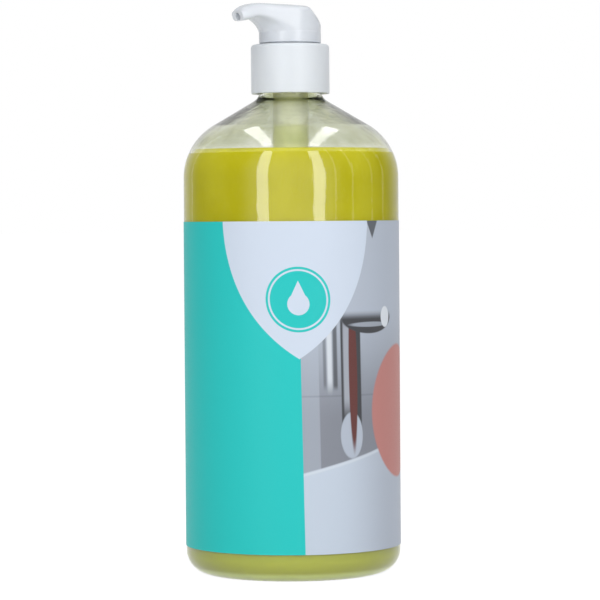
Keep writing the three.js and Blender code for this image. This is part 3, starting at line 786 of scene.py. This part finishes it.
def makeSpring():
    s = springSizes
    half = s["wire"] / 2
    flatPitch = s["wire"] * s["endPitch"]
    openTurns = s["turns"] - 2
    openPitch = (s["height"] - s["wire"] - 2 * flatPitch) / openTurns
    points, faces = [], []
    for i in range(s["steps"] + 1):
        turn = s["turns"] * i / s["steps"]
        flat = min(turn, 1) + max(turn - s["turns"] + 1, 0)
        z = s["foot"] + half + flat * flatPitch + min(max(turn - 1, 0), openTurns) * openPitch
        angle = turn * 2 * pi
        for k in range(s["round"]):
            a = 2 * pi * k / s["round"]
            r = s["mean"] + half * cos(a)
            height = min(max(z + half * sin(a), s["foot"]), s["foot"] + s["height"])
            points.append((r * cos(angle), r * sin(angle), height))
    n = s["round"]
    for i in range(s["steps"]):
        for k in range(n):
            a, b = i * n + k, i * n + (k + 1) % n
            faces.append((a, a + n, b + n, b))
    faces.append(list(range(n)))
    faces.append([s["steps"] * n + k for k in reversed(range(n))])
    return addPiece("returnSpring", points, faces)


returnSpring = makeSpring()
returnSpring.data.materials.append(steelFinish)
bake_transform(returnSpring)
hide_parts("return_spring")

# Piston: a sleeve with a lip at each end
pistonSizes = {"bore": 3.85, "lip": 6.35, "waist": 5.3, "foot": 174.5, "top": 184.5, "lipHeight": 1.6,
               "lipTaper": 1, "bevelIn": 0.5, "bevelUp": 0.6}


def makePiston():
    p = pistonSizes
    corners = []
    for end, way in ((p["foot"], 1), (p["top"], -1)):
        half = [
            (p["bore"], end, 0.15), (p["lip"] - p["bevelIn"], end, 0.3),
            (p["lip"], end + way * p["bevelUp"], 0.3), (p["lip"], end + way * p["lipHeight"], 0.3),
            (p["waist"], end + way * (p["lipHeight"] + p["lipTaper"]), 0.5)]
        corners += half[::way]
    return keepEdges(lathe("pistonSleeve", rounded(corners), 80))


pistonSleeve = setFinish(makePiston(), naturalFinish, "plunger")
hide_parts("piston")

# Stem, with a band over the piston
stemSizes = {"radius": 3.7, "bore": 2.2, "foot": 174.3, "top": 222.5, "band": 5, "bandFoot": 184.8,
             "bandTop": 189.2}


def makeStem():
    line = outline(stemSizes, [
        ("bore", "foot", 0.1), ("radius", "foot", 0.2), ("radius", "bandFoot", 0.15),
        ("band", "bandFoot", 0.3), ("band", "bandTop", 0.6), ("radius", "bandTop", 0.2),
        ("radius", "top", 0.4), ("bore", "top", 0.2)])
    return keepEdges(lathe("pumpStem", line, 72))


pumpStem = setFinish(makeStem(), collarWhite, "head")
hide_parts("stem")

# Plug in the stem's foot, with a plate under the piston
seatSizes = {"axis": 0, "radius": 4.6, "plug": 2.15, "foot": 172.6, "plate": 174.2, "top": 176.4}


def makeSeat():
    line = outline(seatSizes, [
        ("axis", "foot", 0), ("radius", "foot", 0.4), ("radius", "plate", 0.2), ("plug", "plate", 0.1),
        ("plug", "top", 0.4), ("axis", "top", 0)])
    return keepEdges(lathe("stemSeat", line, 64, closed=False))


stemSeat = setFinish(makeSeat(), naturalFinish, "head")
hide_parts("piston_seat")
print("plunger made")

# Head: skirt, thumb pad and drooping spout in one moulding
headSizes = {
    "skirt": 12.7, "wall": 1.2, "foot": 216.7, "slope": 224.5, "pad": 232.585, "padBack": -2.4, "padDip": 0.6,
    "backBulge": (4.1, 3.7), "reach": 25.7, "planInset": 0.05, "backInset": 0.12, "tipHalf": 4.2,
    "tipDrop": 3.5, "tipHeight": 3.9, "tipRun": 7, "tipLean": 0.3, "leanRun": 11, "noseRun": 9.8,
    "noseBend": 3, "lineSteps": 24, "flare": 7.5, "flareInset": 0.2, "flareStart": 2.6, "sideRound": 3.4,
    "topPower": 3.2, "lowPower": (12, 4), "lowFrom": 0.25, "roof": 1.6, "roofFillet": 1.5,
    "root": 0.8, "socket": 3.75, "socketOuter": 4.9, "socketFoot": 213.3, "lock": 7.9, "lockBore": 6,
    "lockFoot": 211.7, "longest": 0.4, "heading": 207, "voxel": 0.26, "smoothing": 5, "softness": 0.5,
    "sections": 120, "around": 112,
    "thread": {"foot": 212.6, "lead": 3.6, "turns": 1.1, "crest": 0.3, "root": 0.7, "depth": 0.12,
               "zone": (7.8, 8, 211, 216)},
}

# The channel's way: from the stem's socket up, under the pad, and down to the mouth, which opens out
# Places are out from the axis or back from the reach, each with its depth under the pad
channelSizes = {"radius": 1.4, "start": 8, "bend": [(0, 5.6), (4, 3.6)], "run": [(10, 3.1), (5, 3.7)],
                "past": 2, "fall": 1.6, "mouthFlare": (0.75, 1.4), "round": 6, "along": 8, "join": 0.001}


def mixed(a, b, t):
    return a + (b - a) * t


def planHalfWidth(along):
    # the skirt's circle, then a straight flank that touches it and ends at the tip
    h = headSizes
    radius = h["skirt"] - h["planInset"]
    turn = asin(radius / hypot(h["reach"], h["tipHalf"])) - atan2(h["tipHalf"], h["reach"])
    if along < radius * sin(turn):
        return sqrt(max(radius ** 2 - along ** 2, 0))
    return (radius - along * sin(turn)) / cos(turn)


def curve(a, b, c, steps):
    # points on a bend from a to c, drawn towards b
    line = []
    for t in [i / steps for i in range(steps + 1)]:
        line.append(tuple((1 - t) ** 2 * a[i] + 2 * t * (1 - t) * b[i] + t * t * c[i] for i in (0, 1)))
    return line


def padLine():
    h = headSizes
    bulge, rise = h["backBulge"]
    back = curve((-h["skirt"], h["slope"]), (h["padBack"] - bulge, h["slope"] + rise),
                 (h["padBack"], h["pad"] - h["padDip"]), h["lineSteps"])
    nose = curve((h["reach"] - h["noseRun"], h["pad"]), (h["reach"] - h["noseBend"], h["pad"]),
                 (h["reach"], h["pad"] - h["tipDrop"]), h["lineSteps"])
    return back + nose


def heightAt(line, along):
    for (x0, z0), (x1, z1) in zip(line, line[1:]):
        if x1 >= along:
            return mixed(z0, z1, max(along - x0, 0) / max(x1 - x0, 1e-6))
    return line[-1][1]


def undersideAt(along, distance):
    # flares out of the skirt in a quarter circle and falls towards the tip
    h = headSizes
    run = min(max(h["skirt"] - h["flareInset"] + h["flare"] - distance, 0), h["flare"])
    fall = smoothStep(along, h["reach"] - h["tipRun"], h["reach"])
    hollow = h["foot"] + h["flareStart"] + sqrt(h["flare"] ** 2 - run ** 2)
    return mixed(hollow, h["pad"] - h["tipDrop"] - h["tipHeight"], fall)


def loftHead():
    # rounded sections across the spout's direction, from the back to the tip
    h = headSizes
    top = padLine()
    points, faces, rows = [], [], []

    def soft(value, power):
        return copysign(abs(value) ** (2 / power), value)

    for j in range(h["sections"] + 1):
        share = j / h["sections"]
        # the sections lie closer together at both ends
        eased = ((1 - cos(pi * share)) / 2 + share) / 2
        along = mixed(h["backInset"] - h["skirt"], h["reach"], eased)
        crest = heightAt(top, along)
        lean = h["tipLean"] * smoothStep(along, h["reach"] - h["leanRun"], h["reach"])
        lowPower = mixed(*h["lowPower"], smoothStep(along, h["reach"] * h["lowFrom"], h["reach"]))
        row = []
        for k in range(h["around"]):
            angle = 2 * pi * k / h["around"]
            power = h["topPower"] if k < h["around"] / 2 else lowPower
            across = planHalfWidth(along) * soft(cos(angle), power)
            lift = soft(sin(angle), power)
            low = undersideAt(along, hypot(along, across))
            middle = crest - min(h["sideRound"], (crest - low) / 2)
            z = middle + ((crest - middle) if lift > 0 else (middle - low)) * lift
            row.append(len(points))
            points.append((along - lean * (crest - z), across, z))
        rows.append(row)
    for a, b in zip(rows, rows[1:]):
        for k in range(h["around"]):
            n = (k + 1) % h["around"]
            faces.append((a[k], a[n], b[n], b[k]))
    faces.append(rows[0][::-1])
    faces.append(rows[-1])
    return addPiece("headLoft", points, faces)


def channelTool():
    h, c = headSizes, channelSizes
    mouth = h["pad"] - h["tipDrop"] - h["tipHeight"] / 2
    route = [(0, h["socketFoot"] + c["start"])] + [(out, h["pad"] - down) for out, down in c["bend"]]
    route += [(h["reach"] - back, h["pad"] - down) for back, down in c["run"]]
    route.append((h["reach"] + c["past"], mouth - c["fall"]))
    bend = bpy.data.curves.new("channel", "CURVE")
    bend.dimensions = "3D"
    bend.bevel_depth = c["radius"] * mm
    bend.bevel_resolution = c["round"]
    bend.use_fill_caps = True
    line = bend.splines.new("NURBS")
    line.points.add(len(route) - 1)
    line.order_u = 3
    line.use_endpoint_u = True
    line.resolution_u = c["along"]
    for point, (x, z) in zip(line.points, route):
        point.co = (x * mm, 0, z * mm, 1)
    line.points[-2].radius, line.points[-1].radius = c["mouthFlare"]
    wire = addObject("channel", bend)
    graph = bpy.context.evaluated_depsgraph_get()
    solid = addObject("channelSolid", bpy.data.meshes.new_from_object(wire.evaluated_get(graph)))
    solid.modifiers.new("joinCaps", "WELD").merge_threshold = c["join"] * mm
    settle(solid)
    bpy.data.objects.remove(wire)
    return solid


def makeHead():
    h = headSizes
    ceiling = h["slope"] - h["roof"]
    bore = h["skirt"] - h["wall"]
    shoulder = h["slope"] - h["sideRound"]
    root = ceiling + h["root"]
    skirt = [(0, h["foot"], 0), (h["skirt"], h["foot"], 0.3), (h["skirt"], shoulder, 0), (0, shoulder, 0)]
    head = combine(lathe("headSkirt", rounded(skirt), 160), loftHead(), "UNION")
    under = h["foot"] - 1
    hollow = [(0, under, 0), (bore, under, 0), (bore, ceiling, h["roofFillet"]), (0, ceiling, 0)]
    combine(head, lathe("hollow", rounded(hollow, 6), 128), "DIFFERENCE")
    ring = rounded([(h["lockBore"], h["lockFoot"], 0.2), (h["lock"], h["lockFoot"], 0.3),
                    (h["lock"], root, 0), (h["lockBore"], root, 0)], 3)
    ring = lathe("lockRing", splitRound(ring, h["longest"]), 112, shape=threaded(h["thread"]))
    combine(head, ring, "UNION")
    tube = [(h["socket"], h["socketFoot"]), (h["socketOuter"], h["socketFoot"]), (h["socketOuter"], root),
            (h["socket"], root)]
    combine(head, lathe("socket", tube), "UNION")
    combine(head, channelTool(), "DIFFERENCE")
    # an even mesh, softened a little, rounds all the edges of the moulding
    remesh = head.modifiers.new("even", "REMESH")
    remesh.mode = "VOXEL"
    remesh.voxel_size = h["voxel"] * mm
    smooth = head.modifiers.new("soften", "SMOOTH")
    smooth.factor = h["softness"]
    smooth.iterations = h["smoothing"]
    settle(head)
    head.data.transform(Matrix.Rotation(radians(h["heading"]), 4, "Z"))
    head.data.shade_smooth()
    head.name = "actuatorHead"
    return head


actuatorHead = setFinish(makeHead(), headWhite, "head")
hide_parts("actuator_head")
print("head made,", len(actuatorHead.data.polygons), "faces")

# Floor, daylight, lamps and camera
# A strip is its angle from the camera, its width and its power, and a top lamp is its shift to the side
studio = {
    "cameraAzimuth": -5.6, "cameraPitch": 1.595, "cameraDistance": 1200, "target": 111.6, "sideways": 3.35,
    "roll": -0.4, "lens": 175.4, "sensor": 36, "nearest": 0.01,
    "daylight": (0.31, 0.2, 0.28), "gloss": (0.05, 0.95, 0.7), "front": (0.45, 1), "behind": (-0.95, -0.4),
    "strips": [(-29.9, 300, 8.8), (30.1, 320, 9.8), (47.8, 50, 0.3), (68.3, 50, 0.28), (95, 50, 0.22),
               (114.2, 50, 0.2), (-131, 50, 0.2)],
    "stripHeight": 1900, "stripAway": 1400, "stripMiddle": 690, "tops": [-510, 530], "topHeight": 1480,
    "topWidth": 250, "topLength": 1340, "topShift": -45, "topPower": 4.2,
}
floorLook = {"half": 30000, "height": -0.03, "paper": (0.9, 0.9, 0.9, 1), "bright": 1.2, "brightShare": 0.8}


def placed(azimuth, away, height):
    turn = radians(studio["cameraAzimuth"] + azimuth)
    return Vector((sin(turn) * away * mm, -cos(turn) * away * mm, height * mm))


def aim(thing, spot, goal):
    thing.location = spot
    thing.rotation_euler = (Vector(goal) - spot).to_track_quat("-Z", "Y").to_euler()


def addLamp(name, width, height, power):
    lamp = bpy.data.lights.new(name, "AREA")
    lamp.shape = "RECTANGLE"
    lamp.size, lamp.size_y = width * mm, height * mm
    lamp.energy = power
    return addObject(name, lamp)


def seenDirectly(tree, rays, others):
    # what the camera sees, also by these other rays, as long as nothing matt is in between
    direct = calc(tree, "LESS_THAN", rays.outputs["Diffuse Depth"], 0.5)
    return calc(tree, "MAXIMUM", rays.outputs["Is Camera Ray"], calc(tree, "MULTIPLY", others, direct))


def makeLamps(turn):
    s = studio
    for i, (azimuth, width, power) in enumerate(s["strips"], 1):
        strip = addLamp("strip%d" % i, width, s["stripHeight"], power)
        aim(strip, placed(azimuth, s["stripAway"], s["stripMiddle"]), (0, 0, s["stripMiddle"] * mm))
    for i, side in enumerate(s["tops"], 1):
        top = addLamp("top%d" % i, s["topWidth"], s["topLength"], s["topPower"])
        top.matrix_world = turn @ Matrix.Translation(Vector((side, s["topShift"], s["topHeight"])) * mm)


def makeWorld(turn):
    # brighter from the front and the back, and plain white where it is seen, also through the clear wall
    s = studio
    world = bpy.data.worlds.new("daylight")
    bpy.context.scene.world = world
    world.use_nodes = True
    tree = world.node_tree
    tree.nodes.clear()
    rays = put(tree, "LightPath")
    facing = {0: put(tree, "TexCoord").outputs["Generated"], 1: turn @ Vector((0, -1, 0))}
    toward = put(tree, "VectorMath", facing, operation="DOT_PRODUCT").outputs["Value"]
    front = ramp(tree, toward, *s["front"])
    behind = ramp(tree, toward, *s["behind"], 1.0, 0.0)

    def spread(side, ahead, back):
        # level at the sides, and what the front and the back add to it
        return calc(tree, "MULTIPLY_ADD", behind, back, calc(tree, "MULTIPLY_ADD", front, ahead, side))

    glossy = rays.outputs["Is Glossy Ray"]
    lit = put(tree, "Mix", {0: glossy, 2: spread(*s["daylight"]), 3: spread(*s["gloss"])}).outputs[0]
    power = calc(tree, "MAXIMUM", seenDirectly(tree, rays, rays.outputs["Is Transmission Ray"]), lit)
    sky = put(tree, "Background", {"Color": (1, 1, 1, 1), "Strength": power})
    put(tree, "OutputWorld", {"Surface": sky.outputs[0]})


def makeFloor():
    f = floorLook
    corners = [(x * f["half"], y * f["half"], f["height"]) for x, y in ((-1, -1), (1, -1), (1, 1), (-1, 1))]
    floor = addPiece("floor", corners, [(0, 1, 2, 3)])
    finish, tree = newFinish("floorPaper")
    rays = put(tree, "LightPath")
    others = calc(tree, "MAXIMUM", rays.outputs["Is Glossy Ray"], rays.outputs["Is Transmission Ray"])
    share = calc(tree, "MULTIPLY", seenDirectly(tree, rays, others), f["brightShare"])
    paper = put(tree, "BsdfDiffuse", {"Color": f["paper"]})
    bright = put(tree, "Emission", {"Color": (1, 1, 1, 1), "Strength": f["bright"]})
    mixture = put(tree, "MixShader", {0: share, 1: paper.outputs[0], 2: bright.outputs[0]})
    closeFinish(tree, mixture.outputs[0])
    floor.data.materials.append(finish)


def makeCamera():
    s = studio
    turn, pitch = radians(s["cameraAzimuth"]), radians(s["cameraPitch"])
    back = Vector((sin(turn) * cos(pitch), -cos(turn) * cos(pitch), sin(pitch)))
    right = Vector((cos(turn), sin(turn), 0))
    up = back.cross(right)
    spot = Vector((0, 0, s["target"] * mm)) + right * s["sideways"] * mm + back * s["cameraDistance"] * mm
    lens = bpy.data.cameras.new("camera")
    lens.lens = s["lens"]
    lens.sensor_width = s["sensor"]
    lens.clip_start = s["nearest"]
    camera = addObject("camera", lens)
    facing = Matrix((right, up, back)).transposed().to_4x4()
    roll = Matrix.Rotation(radians(s["roll"]), 4, "Z")
    camera.matrix_world = Matrix.Translation(spot) @ facing @ roll
    bpy.context.scene.camera = camera


studioTurn = Matrix.Rotation(radians(studio["cameraAzimuth"]), 4, "Z")
makeLamps(studioTurn)
makeWorld(studioTurn)
makeFloor()
makeCamera()
bpy.context.scene.view_settings.view_transform = "Standard"
print("studio made")
